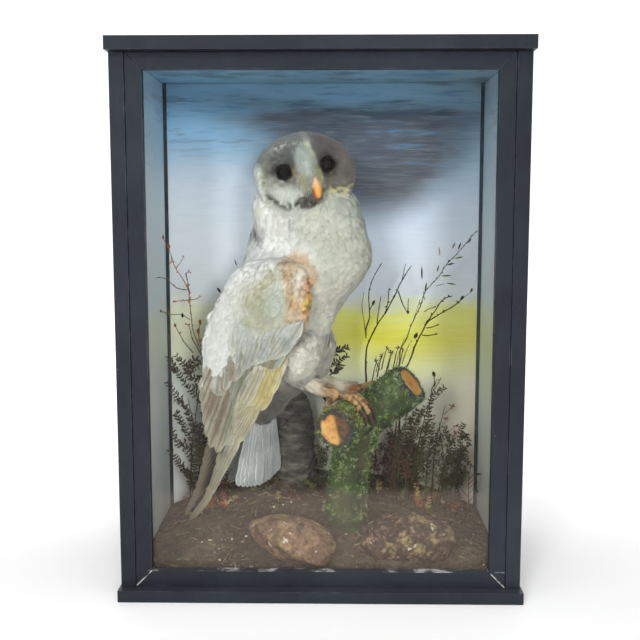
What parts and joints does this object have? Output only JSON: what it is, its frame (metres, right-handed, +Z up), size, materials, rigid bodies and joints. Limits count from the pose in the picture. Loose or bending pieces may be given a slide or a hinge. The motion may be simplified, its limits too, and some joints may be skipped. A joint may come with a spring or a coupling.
{
  "type": "taxidermy barn owl",
  "caption": "Mounted barn owl perched on a mossy forked log over banked groundwork, sealed in an upright glazed black wooden wall case with a painted sky.",
  "frame": {"origin": "middle of the underside of the case's base board", "axes": "+Z up, -Y out through the front glass, +X to the right of a viewer who faces the glass"},
  "size_m": [0.363, 0.233, 0.495],
  "materials": {
    "black_paint": "satin ebonised paint, rubbed to pale gesso at the mitres",
    "sky_paint": "matt distemper sky on the inner faces",
    "glass": "old flat sheet glass",
    "dark_bead": "dark blue-green painted bead",
    "earth": "papier-mache groundwork strewn with sand, grit and dry moss",
    "moss_bark": "bark overgrown with green moss, sawn ends orange-brown",
    "dark_bark": "dry grey-brown ridged bark",
    "stone": "dull brown stone with yellow lichen",
    "plumage": "soft white and grey contour feathers",
    "flight_feather": "pale grey-cream flight feathers with faint bars",
    "leg_skin": "yellow-brown dried leg skin with bristles",
    "claw": "dark horn",
    "beak": "orange-painted horn",
    "eye_glass": "blown black glass eye"
  },
  "bodies": {
    "root": {"case_base_board": "black_paint", "case_top_board": "black_paint", "case_side_left": "sky_paint", "case_post_left": "black_paint", "corner_bead_left": "dark_bead", "case_side_right": "sky_paint", "case_post_right": "black_paint", "corner_bead_right": "dark_bead", "case_back_board": "sky_paint", "sash_rail_bottom": "black_paint", "sash_rail_top": "black_paint", "sash_stile_left": "black_paint", "sash_stile_right": "black_paint", "front_glass": "glass", "groundwork": "earth", "stone_front": "stone", "stone_right": "stone", "mossy_log": "moss_bark", "bark_stump": "dark_bark", "owl_head": "plumage", "owl_neck": "plumage", "owl_trunk": "plumage", "owl_eye_right": "eye_glass", "owl_eye_left": "eye_glass", "owl_bill": "beak", "owl_wing_right": "plumage", "owl_primaries_right": "flight_feather", "owl_wing_left": "plumage", "owl_primaries_left": "flight_feather", "owl_tail": "flight_feather", "owl_thigh_right": "plumage", "owl_shank_right": "leg_skin", "owl_foot_right": "leg_skin", "owl_claw_right_inner": "claw", "owl_claw_right_middle": "claw", "owl_claw_right_outer": "claw", "owl_claw_right_hind": "claw", "owl_thigh_left": "plumage", "owl_shank_left": "leg_skin", "owl_foot_left": "leg_skin", "owl_claw_left_inner": "claw", "owl_claw_left_middle": "claw", "owl_claw_left_outer": "claw", "owl_claw_left_hind": "claw"}
  },
  "joints": []
}
